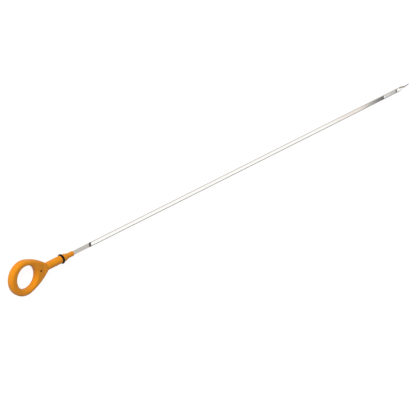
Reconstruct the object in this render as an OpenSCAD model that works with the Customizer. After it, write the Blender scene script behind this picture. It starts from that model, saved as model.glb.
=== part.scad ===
// Engine oil dipstick: a moulded ring handle on a spring steel blade, with a rubber O-ring.
// The blade runs along +X and the ring lies flat in XY. The origin is on the stem's axis, at the
// shoulder that stops on the mouth of the guide tube.

/* [Finger ring] */
// Outer radius of the ring
ring_r = 18.6; // [18.6:0.1:20]
// Radius of the finger hole
hole_r = 12.5; // [11:0.1:12.5]
// How far the hole sits towards the stem from the ring's centre
hole_shift = 1.95; // [0:0.05:2]
// Thickness of the handle
handle_t = 8.4; // [8.2:0.1:9]
// Radius of the outer edges
outer_edge_r = 2.8; // [1:0.1:2.8]
// Radius of the finger hole's edges
hole_edge_r = 2.6; // [1:0.1:2.6]

/* [Shoulder] */
// From the ring's centre to the shoulder
shoulder_x = 28.5; // [27:0.1:29]
// Radius of the long curves from the ring to the shoulder
side_r = 60; // [58:0.5:62]

/* [Valley] */
// Depth of the shallow valley that crosses each face of the body
valley_depth = 0.4; // [0.1:0.05:0.6]
// Radius of the valley
valley_r = 8; // [5:0.5:10]
// From the bottom of the valley to the shoulder
valley_back = 5.1; // [4:0.1:6]

/* [Pin hole] */
// Diameter of the pin hole
pin_hole_d = 2; // [0.8:0.1:2]
// Depth of the pin hole
pin_hole_depth = 2.5; // [0.5:0.1:3]
// Pin hole behind the shoulder
pin_hole_back = 9.1; // [8.9:0.1:10]
// Pin hole beside the middle of the body
pin_hole_side = 0.5; // [0:0.1:4]

/* [Stem] */
// Diameter of the stem
stem_d = 8.2; // [7.6:0.1:8.2]
// Plain length of the stem, from the shoulder to the seal groove
stem_len = 20; // [12:0.1:26]
// Width of the seal groove
groove_w = 2.8; // [2.6:0.1:3.4]
// Diameter at the bottom of the seal groove
groove_d = 5.96; // [5.7:0.02:6]
// Diameter of the land past the groove
land_d = 8; // [7.2:0.1:8.2]
// Length of the land
land_len = 0.8; // [0.6:0.1:4]
// Length of the neck between the land and the nose
neck_len = 8.2; // [5:0.1:12]
// Diameter of the nose
nose_d = 5.2; // [5.2:0.1:6]
// Length of the nose
nose_len = 4.6; // [2:0.1:10]

/* [O-ring] */
// Thickness of the rubber
seal_d = 2.2; // [1.6:0.05:2.4]
// Gap between the rubber and the groove's bottom
seal_gap = 0.02; // [0.01:0.01:0.05]

/* [Blade] */
// Width of the strip
blade_w = 4.65; // [4:0.05:4.7]
// Thickness of the strip
blade_t = 0.85; // [0.6:0.05:1]
// Bevel along the strip's edges
blade_bevel = 0.12; // [0.05:0.01:0.2]
// Length of the tang behind the shoulder
tang_back = 5; // [3.5:0.1:5.5]
// Diameter of the hole that locks the tang in the moulding
lock_hole_d = 2; // [1:0.1:2.2]
// From the shoulder to the blade's tip
reach = 542.6; // [400:0.1:700]

/* [Gutter] */
// Depth of the gutter
gutter_depth = 0.5; // [0.2:0.02:0.5]
// From the shoulder to the start of the gutter
gutter_from = 58.4; // [45:0.1:80]
// Length over which the gutter starts
gutter_start = 3; // [1.5:0.1:6]
// Length over which the gutter runs out
gutter_fade = 60; // [20:1:100]
// From the end of the gutter to the upper level hole
gutter_gap = 31.8; // [5:0.1:60]

/* [Level marks] */
// Diameter of the level holes
level_hole_d = 2.6; // [1.5:0.1:2.8]
// From the upper to the lower level hole
mark_gap = 22.1; // [5:0.1:40]
// From the lower level hole to the tip
mark_end = 17.7; // [17.5:0.1:40]

/* [Tail] */
// Length of the tail, from the start of the twist to the tip
tail_len = 15.7; // [13:0.1:15.7]
// Length of the twist
twist_len = 10; // [6:0.1:10]
// Angle of the twist
twist_deg = 50; // [30:1:90]
// Radius of the bend past the twist
bend_r = 8; // [5:0.5:12]
// Angle of the bend
bend_deg = 6.5; // [1:0.5:12]
// Radius of the tip's corners
tip_r = 1; // [0.4:0.1:1.6]

/* [Hidden] */
$fn = 128;
eps = 0.01;
far = 4 * ring_r;

handle_h = handle_t / 2;
stem_r = stem_d / 2;

// The side curves leave the ring along a 7-24-25 triangle, so that their centres are exact
// numbers and the outline runs on smoothly.
side_x = -0.28 * (side_r - ring_r);
side_y = -0.96 * (side_r - ring_r);

groove_r = groove_d / 2;
land_r = land_d / 2;
nose_r = nose_d / 2;
seal_r = seal_d / 2;
seal_x = stem_len + groove_w / 2;
land_x = stem_len + groove_w;
neck_x = land_x + land_len;
nose_x = neck_x + neck_len;
nose_end = nose_x + nose_len;
// the neck is two equal arcs, the first full and the second hollow
neck_drop = land_r - nose_r;
neck_r = (pow(neck_len, 2) + pow(neck_drop, 2)) / (4 * neck_drop);
neck_deg = asin(neck_len / (2 * neck_r));
neck_steps = 16;
function neck_point(t) = t < 0.5 ?
    [land_r - neck_r * (1 - cos(2 * t * neck_deg)), neck_x + neck_r * sin(2 * t * neck_deg)] :
    [nose_r + neck_r * (1 - cos(2 * (1 - t) * neck_deg)),
        nose_x - neck_r * sin(2 * (1 - t) * neck_deg)];

// the rib under the gutter takes all the width between the bevels
rib_c = blade_w / 2 - blade_bevel - 0.02;
rib_r = (pow(rib_c, 2) + pow(gutter_depth, 2)) / (2 * gutter_depth);
gutter_r = rib_r - blade_t;
gutter_full = gutter_from + gutter_start;
low_mark = reach - mark_end;
full_mark = low_mark - mark_gap;
gutter_to = full_mark - gutter_gap;
runout_from = gutter_to - gutter_fade;
least_c = 0.4;
arc_steps = 12;
tail_x = reach - tail_len;
bend_x = tail_x + twist_len;
bend_len = bend_r * bend_deg * PI / 180;

// Disc with rounded edges, lying in XY
module rounded_disc(r, h, edge) {
    rotate_extrude() {
        translate([0, -h]) square([r - edge, 2 * h]);
        translate([0, edge - h]) square([r, 2 * (h - edge)]);
        for (s = [-1, 1]) translate([r - edge, s * (h - edge)]) circle(edge);
    }
}

// What a hole with rounded edges takes away, open on both faces
module flared_hole(r, h, edge) {
    rotate_extrude() difference() {
        translate([0, -h - eps]) square([r + edge, 2 * (h + eps)]);
        translate([r, edge - h]) square([2 * edge, 2 * (h - edge)]);
        for (s = [-1, 1]) translate([r + edge, s * (h - edge)]) circle(edge);
    }
}

// Everything between two lines that open towards the stem, up to the shoulder
module ring_sector() {
    translate([0, 0, -far]) linear_extrude(2 * far)
        polygon([
            [0, 0],
            [0.28 * far, -0.96 * far],
            [shoulder_x, -0.96 * far],
            [shoulder_x, 0.96 * far],
            [0.28 * far, 0.96 * far]]);
}

module ring_body() {
    difference() {
        rounded_disc(ring_r, handle_h, outer_edge_r);
        ring_sector();
    }
    intersection() {
        translate([side_x, side_y, 0]) rounded_disc(side_r, handle_h, outer_edge_r);
        translate([side_x, -side_y, 0]) rounded_disc(side_r, handle_h, outer_edge_r);
        ring_sector();
    }
}

// What the valley takes off the upper face of the body
module valley() {
    translate([-valley_back, 0, handle_h - valley_depth + valley_r]) rotate([90, 0, 0])
        cylinder(r = valley_r, h = far, center = true);
}

// Stem, seal groove, land, neck and nose, turned round the blade's axis
module stem() {
    rotate([0, 90, 0]) rotate_extrude() polygon(concat(
        [[0, -1], [stem_r, -1], [stem_r, stem_len]],
        [[groove_r, stem_len], [groove_r, land_x], [land_r, land_x]],
        [for (i = [0:neck_steps]) neck_point(i / neck_steps)],
        [[nose_r, nose_end], [0, nose_end]]));
}

// The pin of plastic that runs through the tang
module lock_pin() {
    translate([-tang_back / 2, 0, 0]) cylinder(d = lock_hole_d, h = 2 * blade_t, center = true);
}

// The space that the tang takes up in the moulding
module tang_slot() {
    a = blade_w / 2;
    b = blade_t / 2;
    c = blade_bevel;
    difference() {
        translate([-tang_back, 0, 0]) rotate([90, 0, 90]) linear_extrude(tang_back + nose_end + 1)
            polygon([[c - a, -b], [a - c, -b], [a, c - b], [a, b - c],
                [a - c, b], [c - a, b], [-a, b - c], [-a, c - b]]);
        lock_pin();
    }
}

module handle() {
    color("orange") difference() {
        union() {
            difference() {
                translate([-shoulder_x, 0, 0]) difference() {
                    ring_body();
                    translate([hole_shift, 0, 0]) flared_hole(hole_r, handle_h, hole_edge_r);
                }
                valley();
                mirror([0, 0, 1]) valley();
            }
            stem();
        }
        tang_slot();
        translate([-pin_hole_back, pin_hole_side, handle_h - pin_hole_depth])
            cylinder(d = pin_hole_d, h = pin_hole_depth + 1);
    }
}

module o_ring() {
    color("dimgray") translate([seal_x, 0, 0]) rotate([0, 90, 0]) rotate_extrude()
        translate([groove_r + seal_gap + seal_r, 0]) circle(seal_r);
}

// Depth of the gutter at a distance from the shoulder
function gutter_at(x) =
    x <= gutter_from || x >= gutter_to ? 0 :
    x < gutter_full ? start_depth((gutter_full - x) / gutter_start) :
    x > runout_from ? gutter_depth * (gutter_to - x) / (gutter_to - runout_from) :
    gutter_depth;
function start_depth(s) =
    sqrt(pow(gutter_r, 2) - (2 * gutter_r * gutter_depth - pow(gutter_depth, 2)) * pow(s, 2))
    - gutter_r + gutter_depth;

// Half width and height of a hollow of radius r and depth d, and its points from left to right
function hollow_c(r, d) = max(least_c, sqrt(max(0, 2 * r * d - d * d)));
function hollow_v(r, d, u) = max(0, sqrt(r * r - u * u) - r + d);
function hollow(r, d, v) = [
    for (i = [0:arc_steps])
        let (u = hollow_c(r, d) * (2 * i / arc_steps - 1))
        [u, v - hollow_v(r, d, u)]];

// Half width of the strip, with round corners at the tip
function half_w(x) =
    x <= reach - tip_r ? blade_w / 2 :
    blade_w / 2 - tip_r + sqrt(max(0, pow(tip_r, 2) - pow(x - reach + tip_r, 2)));

// A section across the strip: its lower row, its upper row, then the bevels left and right
row_n = arc_steps + 3;
function section(x) = let (
        a = half_w(x),
        b = blade_t / 2,
        c = blade_bevel,
        d = gutter_at(x)
    ) concat(
        [[c - a, -b]], hollow(rib_r, d, -b), [[a - c, -b]],
        [[c - a, b]], hollow(gutter_r, d, b), [[a - c, b]],
        [[-a, c - b], [-a, b - c], [a, c - b], [a, b - c]]);
// the order of those points round the edge
around = concat(
    [for (i = [0:row_n - 1]) i],
    [2 * row_n + 2, 2 * row_n + 3],
    [for (i = [2 * row_n - 1:-1:row_n]) i],
    [2 * row_n + 1, 2 * row_n]);

// Twist and bend: p is across and through the strip, x along it
function twist_at(x) = let (s = min(1, max(0, (x - tail_x) / twist_len)))
    twist_deg * s * s * (3 - 2 * s);
function bent(x, p) = let (
        over = max(0, x - bend_x),
        f = min(bend_deg, over / bend_r * 180 / PI),
        rest = max(0, over - bend_len)
    ) [
        min(x, bend_x) + bend_r * sin(f) + rest * cos(f) + p[1] * sin(f),
        p[0],
        p[1] * cos(f) - bend_r * (1 - cos(f)) - rest * sin(f)];
function placed(x, p) = let (q = bent(x, p), w = twist_at(x))
    [q[0], q[1] * cos(w) - q[2] * sin(w), q[1] * sin(w) + q[2] * cos(w)];

stations = concat(
    [-tang_back],
    [for (i = [0:6]) gutter_full - gutter_start * cos(15 * i)],
    [for (i = [0:10]) gutter_to - (gutter_to - runout_from) * pow(1 - i / 10, 2)],
    [for (i = [0:14]) tail_x + twist_len * i / 14],
    [for (i = [1:3]) bend_x + bend_len * i / 3],
    [for (i = [0:5]) reach - tip_r + tip_r * sin(18 * i)]);

function end_faces(o) = concat(
    [for (i = [0:row_n - 2]) [o + i, o + i + 1, o + row_n + i + 1, o + row_n + i]],
    [[o + 2 * row_n, o, o + row_n, o + 2 * row_n + 1]],
    [[o + row_n - 1, o + 2 * row_n + 2, o + 2 * row_n + 3, o + 2 * row_n - 1]]);
function flipped(faces) = [for (f = faces) [for (i = [len(f) - 1:-1:0]) f[i]]];

module strip() {
    n = len(section(0));
    m = len(stations);
    polyhedron(
        points = [for (x = stations) for (p = section(x)) placed(x, p)],
        faces = concat(
            end_faces(0),
            flipped(end_faces((m - 1) * n)),
            [for (k = [0:m - 2]) for (i = [0:n - 1]) let (p = around[i], q = around[(i + 1) % n])
                [k * n + p, (k + 1) * n + p, k * n + q]],
            [for (k = [0:m - 2]) for (i = [0:n - 1]) let (p = around[i], q = around[(i + 1) % n])
                [(k + 1) * n + p, (k + 1) * n + q, k * n + q]]));
}

module blade() {
    color("silver") difference() {
        strip();
        lock_pin();
        for (x = [full_mark, low_mark]) translate([x, 0, 0]) cylinder(d = level_hole_d, h = 2 * blade_t, center = true);
    }
}

handle();
blade();
o_ring();
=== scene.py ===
"""Looks, light and camera for the engine oil dipstick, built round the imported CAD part.

Lengths on the part are written in mm and turned to metres with MM, and those of the studio are
in metres. Places along the strip are counted from the handle's shoulder, as in the CAD.
"""

import math

import bpy
from mathutils import Matrix, Vector


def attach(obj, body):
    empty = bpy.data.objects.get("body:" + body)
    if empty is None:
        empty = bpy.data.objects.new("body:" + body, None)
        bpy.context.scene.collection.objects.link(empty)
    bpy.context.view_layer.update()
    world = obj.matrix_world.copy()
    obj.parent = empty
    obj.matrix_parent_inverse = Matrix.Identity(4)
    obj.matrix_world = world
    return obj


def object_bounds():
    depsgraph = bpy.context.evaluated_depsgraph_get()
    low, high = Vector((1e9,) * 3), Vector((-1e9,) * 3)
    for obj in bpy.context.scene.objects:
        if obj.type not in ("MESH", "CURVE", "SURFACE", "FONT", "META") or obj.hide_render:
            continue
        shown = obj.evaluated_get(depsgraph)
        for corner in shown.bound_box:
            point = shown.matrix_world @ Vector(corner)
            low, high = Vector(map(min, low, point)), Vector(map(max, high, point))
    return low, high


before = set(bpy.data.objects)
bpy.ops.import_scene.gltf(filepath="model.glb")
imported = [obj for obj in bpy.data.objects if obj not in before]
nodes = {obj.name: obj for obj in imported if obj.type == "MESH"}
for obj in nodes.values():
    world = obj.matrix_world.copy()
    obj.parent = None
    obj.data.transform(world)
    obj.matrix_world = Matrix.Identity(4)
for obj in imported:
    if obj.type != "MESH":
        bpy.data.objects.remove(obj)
low_cad, high_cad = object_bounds()

MM = 0.001
WHITE = (1.0, 1.0, 1.0, 1.0)
MATH = "ShaderNodeMath"

# the Mix node has sockets of one name for each kind of data, so those for colour go by number
COLOUR_A = 6
COLOUR_B = 7
COLOUR_OUT = 2

# the pin hole's middle on the handle's upper face, and its radius in mm
PIN_PLACE = (-9.1 * MM, 0.5 * MM, 0)
PIN_RADIUS = 1.0

# half the strip's thickness, and where each field of hatching starts and ends, in mm
STRIP_FACE = 0.425
HATCHING_UPPER = (478, 499)
HATCHING_LOWER = (515, 521)

FLOOR_REACH = 6.0
FLOOR_GAP = 0.02 * MM
AIR_STRENGTH = 0.42


def linear(hex_colour):
    """The linear RGBA of a colour written as sRGB hex."""
    parts = [int(hex_colour[i:i + 2], 16) / 255 for i in (1, 3, 5)]
    return tuple(p / 12.92 if p <= 0.04045 else ((p + 0.055) / 1.055) ** 2.4 for p in parts) + (1.0,)


def fill(tree, node, inputs):
    """Fills a node's inputs. A value is set on the socket itself, a socket is linked to it, and a
    node stands for its first output."""
    for key, value in inputs.items():
        source = value.outputs[0] if isinstance(value, bpy.types.Node) else value
        if isinstance(source, bpy.types.NodeSocket):
            tree.links.new(source, node.inputs[key])
        else:
            node.inputs[key].default_value = source


def add(tree, kind, inputs=None, **settings):
    """Adds a node with its settings, its values and its links."""
    node = tree.nodes.new(kind)
    for key, value in settings.items():
        setattr(node, key, value)
    fill(tree, node, inputs or {})
    return node


def material(name):
    """A new material with its tree, its Principled BSDF and its Object coordinates."""
    made = bpy.data.materials.new(name)
    made.use_nodes = True
    tree = made.node_tree
    return made, tree, tree.nodes["Principled BSDF"], add(tree, "ShaderNodeTexCoord").outputs["Object"]


def clouds(tree, place, feature_mm, stretch=(1, 1, 1), detail=2.0):
    """Soft random patches from 0 to 1, feature_mm across, and longer by stretch along each axis."""
    scale = tuple(1 / (feature_mm * MM * s) for s in stretch)
    sized = add(tree, "ShaderNodeMapping", {"Vector": place, "Scale": scale})
    return add(tree, "ShaderNodeTexNoise", {"Vector": sized, "Scale": 1.0, "Detail": detail}).outputs["Fac"]


def where(tree, *limits):
    """A mask over a part of the piece. Each limit is a distance, then the place on it where the
    mask is still 0 and the place where it has come to 1, both in mm."""
    mask = None
    for distance, none_at, full_at in limits:
        edge = add(tree, "ShaderNodeMapRange", {
            "Value": distance, "From Min": none_at * MM, "From Max": full_at * MM})
        mask = edge if mask is None else add(tree, MATH, {0: mask, 1: edge}, operation="MULTIPLY")
    return mask


def layered(tree, base, *coats):
    """The base colour with coats laid over it in turn. Each coat is a mask and a colour."""
    colour = base
    for mask, coat in coats:
        colour = add(tree, "ShaderNodeMix", {
            "Factor": mask, COLOUR_A: colour, COLOUR_B: coat}, data_type="RGBA").outputs[COLOUR_OUT]
    return colour


def assign(obj, finish):
    obj.data.materials.clear()
    obj.data.materials.append(finish)


def moulded_nylon():
    """The handle's injection-moulded nylon.

    A satin skin with a very fine grain, a little light in its depth, and cloudy patches where the
    pigment is a shade stronger.
    """
    made, tree, skin, place = material("orange moulded nylon")
    # painted shade darkens the inside of the pin hole, which is open on the upper face
    flat = add(tree, "ShaderNodeVectorMath", {0: place, 1: (1, 1, 0)}, operation="MULTIPLY")
    distance = add(tree, "ShaderNodeVectorMath", {0: flat, 1: PIN_PLACE}, operation="DISTANCE")
    from_pin = distance.outputs["Value"]
    height = add(tree, "ShaderNodeSeparateXYZ", {"Vector": place}).outputs["Z"]
    pin_hole_shade = where(tree, (from_pin, PIN_RADIUS + 0.04, PIN_RADIUS + 0.02), (height, -0.1, 0.1))
    colour = layered(
        tree, linear("#CC7C08"),
        (clouds(tree, place, 9), linear("#D88812")),
        (pin_hole_shade, linear("#480D00")))
    satin = add(tree, "ShaderNodeMapRange", {
        "Value": clouds(tree, place, 1.6), "To Min": 0.42, "To Max": 0.54})
    # the real grain is under 0.1 mm and is drawn about twice as coarse so that it shows
    grain = add(tree, "ShaderNodeBump", {
        "Height": clouds(tree, place, 0.22), "Strength": 1.0, "Distance": 0.006 * MM})
    fill(tree, skin, {
        "Base Color": colour,
        "Roughness": satin,
        "IOR": 1.53,
        "Specular IOR Level": 0.25,
        "Subsurface Weight": 0.05,
        "Subsurface Radius": (1.0, 0.5, 0.2),
        "Subsurface Scale": 0.5 * MM,
        "Normal": grain})
    return made


def spring_steel():
    """The strip's cold-rolled spring steel, pressed and then worn by the guide tube.

    Fine rolling lines along the strip, a bright gutter that is partly polish and partly a painted
    reflection, one edge painted pale as lit and the other dark as shade, a warm stain towards the
    gutter's end, and painted shade over the hatched gauging zone and the twisted tail.
    """
    made, tree, skin, place = material("cold rolled spring steel")
    along, across, through = add(tree, "ShaderNodeSeparateXYZ", {"Vector": place}).outputs
    sideways = add(tree, "ShaderNodeVectorMath", {0: place, 1: (0, 1, 1)}, operation="MULTIPLY")
    off_axis = add(tree, "ShaderNodeVectorMath", {0: sideways}, operation="LENGTH").outputs["Value"]

    plain = linear("#BAB4AE")
    # the gutter's near white is partly its polish and partly a painted reflection
    polish_and_painted_reflection = linear("#FDFCF8")
    warm_stain = linear("#F0E7DF")
    # painted shade over the hatched gauging zones, where the ridges shade one another
    painted_hatching_shade = linear("#50514E")
    rubbed_zone = linear("#D2D0CC")
    # the twisted tail is painted darker, as shade
    painted_tail_shade = linear("#757472")
    # each finish takes over from the one before it between two places: at the gutter's start,
    # where the warm stain and the painted shade over the hatching begin towards the gutter's end,
    # at each level hole, and in the twist
    worked = []
    for begin, full, finish in (
            (58.6, 62, polish_and_painted_reflection),
            (400, 456, warm_stain),
            (456, 504, painted_hatching_shade),
            (501.2, 502.4, rubbed_zone),
            (519, 522.8, painted_hatching_shade),
            (522.8, 524.8, polish_and_painted_reflection),
            (530.5, 536, painted_tail_shade)):
        taken = add(tree, "ShaderNodeMapRange", {
            "Value": along, "From Min": begin * MM, "From Max": full * MM}, interpolation_type="SMOOTHSTEP")
        worked.append((taken, finish))
    upper_face = layered(tree, plain, *worked)
    # the underside has none of these, only a slow change of tone
    underside = layered(tree, linear("#BEB6AC"), (clouds(tree, place, 5, (5, 1, 1)), linear("#C9C2B8")))
    upper_side = (through, -0.30, -0.20)

    # the guide tube has rubbed pale streaks along the plain part before the gutter
    rubs = add(tree, "ShaderNodeMapRange", {
        "Value": clouds(tree, place, 1.3, (70, 1, 1)), "From Min": 0.40, "From Max": 0.62, "To Max": 0.22})
    streaks = add(tree, MATH, {0: rubs, 1: where(tree, (along, 58, 56))}, operation="MULTIPLY")
    # from the gutter's start into the twist one edge is painted pale as lit and the other painted
    # dark as shade, and both are measured from the strip's axis to stay edges in the twist
    painted_lit_edge = where(tree, (off_axis, 1.80, 2.02), (across, 0, 0.1), (along, 58, 60), (along, 534, 532))
    painted_shade_edge = where(tree, (off_axis, 1.55, 1.85), (across, 0, -0.1), (along, 58, 60), (along, 534, 532))
    # the twist has a brown heat stain along its upper edge
    heat_stain = where(tree, (along, 526.5, 528), (along, 536, 534), (across, 0.6, 1.2))
    # a painted dark reflection lies in a crescent at the blunt start of the gutter
    painted_dark_reflection = where(tree, (along, 58.2, 59.3), (along, 62.0, 61.2), upper_side)
    colour = layered(
        tree, underside,
        (where(tree, upper_side), upper_face),
        (streaks, linear("#E9E6E2")),
        (painted_lit_edge, linear("#BDB7AE")),
        (painted_shade_edge, linear("#3A3836")),
        (heat_stain, linear("#8E8273")),
        (painted_dark_reflection, linear("#423B3C")))

    # the real rolling lines are finer than 0.1 mm and are drawn 0.25 mm wide so that they show
    lines = clouds(tree, place, 0.25, (120, 1, 1), 3.0)
    rolled = add(tree, "ShaderNodeMapRange", {"Value": lines, "To Min": 0.24, "To Max": 0.38})
    scale = add(tree, "ShaderNodeMapRange", {"Value": painted_shade_edge, "To Max": 0.7})
    # the edge painted dark as shade is also made rough and not metallic, and the rest is bare metal
    bare = add(tree, "ShaderNodeMapRange", {"Value": painted_shade_edge, "To Min": 1.0, "To Max": 0.0})
    fill(tree, skin, {
        "Base Color": colour,
        "Metallic": bare,
        "Roughness": add(tree, MATH, {0: scale, 1: rolled}, operation="MAXIMUM"),
        "Normal": add(tree, "ShaderNodeBump", {"Height": lines, "Strength": 1.0, "Distance": 0.004 * MM})})
    return made


def rubbed_hatching():
    """The tops of the pressed hatching.

    They are rubbed bright above the painted shade on the strip, and are darker towards the upper level
    hole.
    """
    made, tree, skin, place = material("rubbed steel hatching")
    along = add(tree, "ShaderNodeSeparateXYZ", {"Vector": place}).outputs["X"]
    colour = layered(
        tree, linear("#AAAAA8"),
        (clouds(tree, place, 2), linear("#C8C8C6")),
        (where(tree, (along, 480, 499), (along, 506, 505)), linear("#868684")))
    fill(tree, skin, {"Base Color": colour, "Metallic": 1.0, "Roughness": 0.32})
    return made


def nitrile_rubber():
    """The O-ring's moulded black nitrile rubber, a nearly even black with a weak oily sheen."""
    made, tree, skin, place = material("black nitrile rubber")
    colour = layered(tree, linear("#050505"), (clouds(tree, place, 1.2), linear("#0B0A0A")))
    oily = add(tree, "ShaderNodeMapRange", {
        "Value": clouds(tree, place, 0.7), "To Min": 0.40, "To Max": 0.54})
    # a moulded skin is finer than 0.1 mm and is drawn at 0.3 mm so that it shows
    moulded = add(tree, "ShaderNodeBump", {
        "Height": clouds(tree, place, 0.3), "Strength": 1.0, "Distance": 0.004 * MM})
    fill(tree, skin, {
        "Base Color": colour, "Roughness": oily, "Specular IOR Level": 0.15, "Normal": moulded})
    return made


def hatching(name, start, end, finish):
    """Crossed ridges pressed on the strip's upper face from start to end, in mm."""
    tree = bpy.data.node_groups.new(name, "GeometryNodeTree")
    tree.interface.new_socket("Geometry", in_out="OUTPUT", socket_type="NodeSocketGeometry")
    # a ridge is centred on the face, so half of its height stands proud
    sizes = {
        "Start": start * MM,
        "End": end * MM,
        "Pitch": 2.9 * MM,
        "Half width": 1.95 * MM,
        "Angle": math.radians(38),
        "Ridge width": 0.5 * MM,
        "Ridge height": 0.1 * MM,
        "Face": STRIP_FACE * MM}
    for key, value in sizes.items():
        socket = tree.interface.new_socket(key, in_out="INPUT", socket_type="NodeSocketFloat")
        socket.default_value = value
    given = add(tree, "NodeGroupInput").outputs

    # a row of points along the strip, one pitch apart
    run = add(tree, MATH, {0: given["End"], 1: given["Start"]}, operation="SUBTRACT")
    pitches = add(tree, MATH, {0: run, 1: given["Pitch"]}, operation="DIVIDE")
    whole = add(tree, MATH, {0: pitches}, operation="FLOOR")
    count = add(tree, MATH, {0: whole, 1: 1.0}, operation="ADD")
    first = add(tree, "ShaderNodeCombineXYZ", {"X": given["Start"], "Z": given["Face"]})
    step = add(tree, "ShaderNodeCombineXYZ", {"X": given["Pitch"]})
    row = add(tree, "GeometryNodeMeshLine", {"Count": count, "Start Location": first, "Offset": step})

    # one ridge, long enough to cross the strip at its angle
    width = add(tree, MATH, {0: given["Half width"], 1: 2.0}, operation="MULTIPLY")
    slant = add(tree, MATH, {0: given["Angle"]}, operation="SINE")
    ridge_length = add(tree, MATH, {0: width, 1: slant}, operation="DIVIDE")
    size = add(tree, "ShaderNodeCombineXYZ", {
        "X": ridge_length, "Y": given["Ridge width"], "Z": given["Ridge height"]})
    ridge = add(tree, "GeometryNodeMeshCube", {"Size": size})

    # the second set is a little lower, so that no two tops lie in one plane where they cross
    joined = add(tree, "GeometryNodeJoinGeometry")
    for side, height in ((1.0, 1.0), (-1.0, 0.8)):
        turned = add(tree, MATH, {0: given["Angle"], 1: side}, operation="MULTIPLY")
        turn = add(tree, "ShaderNodeCombineXYZ", {"Z": turned})
        ridges = add(tree, "GeometryNodeInstanceOnPoints", {
            "Points": row, "Instance": ridge, "Rotation": turn, "Scale": (1.0, 1.0, height)})
        tree.links.new(ridges.outputs[0], joined.inputs[0])
    real = add(tree, "GeometryNodeRealizeInstances", {"Geometry": joined})
    dressed = add(tree, "GeometryNodeSetMaterial", {"Geometry": real, "Material": finish})
    add(tree, "NodeGroupOutput", {0: dressed})

    carrier = bpy.data.objects.new(name, bpy.data.meshes.new(name))
    bpy.context.scene.collection.objects.link(carrier)
    carrier.modifiers.new("hatching", "NODES").node_group = tree
    evaluated = carrier.evaluated_get(bpy.context.evaluated_depsgraph_get())
    mesh = bpy.data.meshes.new_from_object(evaluated)
    carrier.modifiers.clear()
    carrier.data = mesh
    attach(carrier, "root")


def white_for(tree):
    """1 for the rays that show the background: the camera's, and those of gloss and glass."""
    path = add(tree, "ShaderNodeLightPath").outputs
    either = add(tree, MATH, {0: path["Is Camera Ray"], 1: path["Is Glossy Ray"]}, operation="MAXIMUM")
    return add(tree, MATH, {0: either, 1: path["Is Transmission Ray"]}, operation="MAXIMUM")


def studio_floor(z):
    """Pale paper, seen as nearly white by the camera and in gloss, with the object's faint shadow."""
    far = FLOOR_REACH
    corners = [(-far, -far, z), (far, -far, z), (far, far, z), (-far, far, z)]
    mesh = bpy.data.meshes.new("floor")
    mesh.from_pydata(corners, [], [(0, 1, 2, 3)])
    made = bpy.data.objects.new("floor", mesh)
    bpy.context.scene.collection.objects.link(made)
    paper = bpy.data.materials.new("white studio paper")
    paper.use_nodes = True
    tree = paper.node_tree
    tree.nodes.clear()
    matt = add(tree, "ShaderNodeBsdfDiffuse", {"Color": linear("#D8D8D6")})
    seen_matt = add(tree, "ShaderNodeBsdfDiffuse", {"Color": linear("#808080")})
    seen_glow = add(tree, "ShaderNodeEmission", {"Color": WHITE, "Strength": 0.90})
    seen = add(tree, "ShaderNodeAddShader", {0: seen_matt, 1: seen_glow})
    mix = add(tree, "ShaderNodeMixShader", {"Fac": white_for(tree), 1: matt, 2: seen})
    add(tree, "ShaderNodeOutputMaterial", {"Surface": mix})
    mesh.materials.append(paper)
    return made


def studio_air():
    """Pale air all round, seen as plain white by the camera and in gloss."""
    world = bpy.data.worlds.new("studio")
    world.use_nodes = True
    tree = world.node_tree
    tree.nodes.clear()
    air = add(tree, "ShaderNodeBackground", {"Color": WHITE, "Strength": AIR_STRENGTH})
    clear = add(tree, "ShaderNodeBackground", {"Color": WHITE, "Strength": 1.0})
    mix = add(tree, "ShaderNodeMixShader", {"Fac": white_for(tree), 1: air, 2: clear})
    add(tree, "ShaderNodeOutputWorld", {"Surface": mix})
    return world


def soft_box(name, place, aim, width, height, watts):
    """One soft lamp that faces aim, of width by height in metres."""
    lamp = bpy.data.lights.new(name, "AREA")
    lamp.shape = "RECTANGLE"
    lamp.size = width
    lamp.size_y = height
    lamp.energy = watts
    made = bpy.data.objects.new(name, lamp)
    made.location = place
    made.rotation_euler = (aim - Vector(place)).to_track_quat("-Z", "Y").to_euler()
    # no surface mirrors the lamp, so that the steel doesn't mirror it and burn the strip out from one side
    made.visible_glossy = False
    bpy.context.scene.collection.objects.link(made)


def long_lens():
    """The camera behind and above the ring, rolled so that the blade runs up to the right.

    Its place and turn are fitted to where the photo has the ring, the shoulder, the level holes
    and the tip.
    """
    lens = bpy.data.cameras.new("camera")
    lens.sensor_width = 36
    lens.lens = 225
    lens.clip_end = 50
    camera = bpy.data.objects.new("camera", lens)
    right = Vector((0.7121, -0.1000, 0.6949))
    up = Vector((0.3628, 0.8998, -0.2422))
    back = right.cross(up).normalized()
    eye = Vector((-1.4197, 1.1361, 1.8515))
    turn = Matrix((right, up, back)).transposed()
    camera.matrix_world = Matrix.Translation(eye) @ turn.to_4x4()
    bpy.context.scene.collection.objects.link(camera)
    return camera


assign(nodes["handle"], moulded_nylon())
assign(nodes["blade"], spring_steel())
assign(nodes["o_ring"], nitrile_rubber())

rubbed = rubbed_hatching()
hatching("hatching_upper", *HATCHING_UPPER, rubbed)
hatching("hatching_lower", *HATCHING_LOWER, rubbed)

studio_floor(low_cad.z - FLOOR_GAP)
middle = (low_cad + high_cad) / 2
soft_box("key from the ring's side", place=(-1.4, 2.05, 1.0), aim=middle, width=1.5, height=1.1, watts=78)
bpy.context.scene.world = studio_air()
bpy.context.scene.camera = long_lens()
bpy.context.scene.view_settings.view_transform = "Standard"
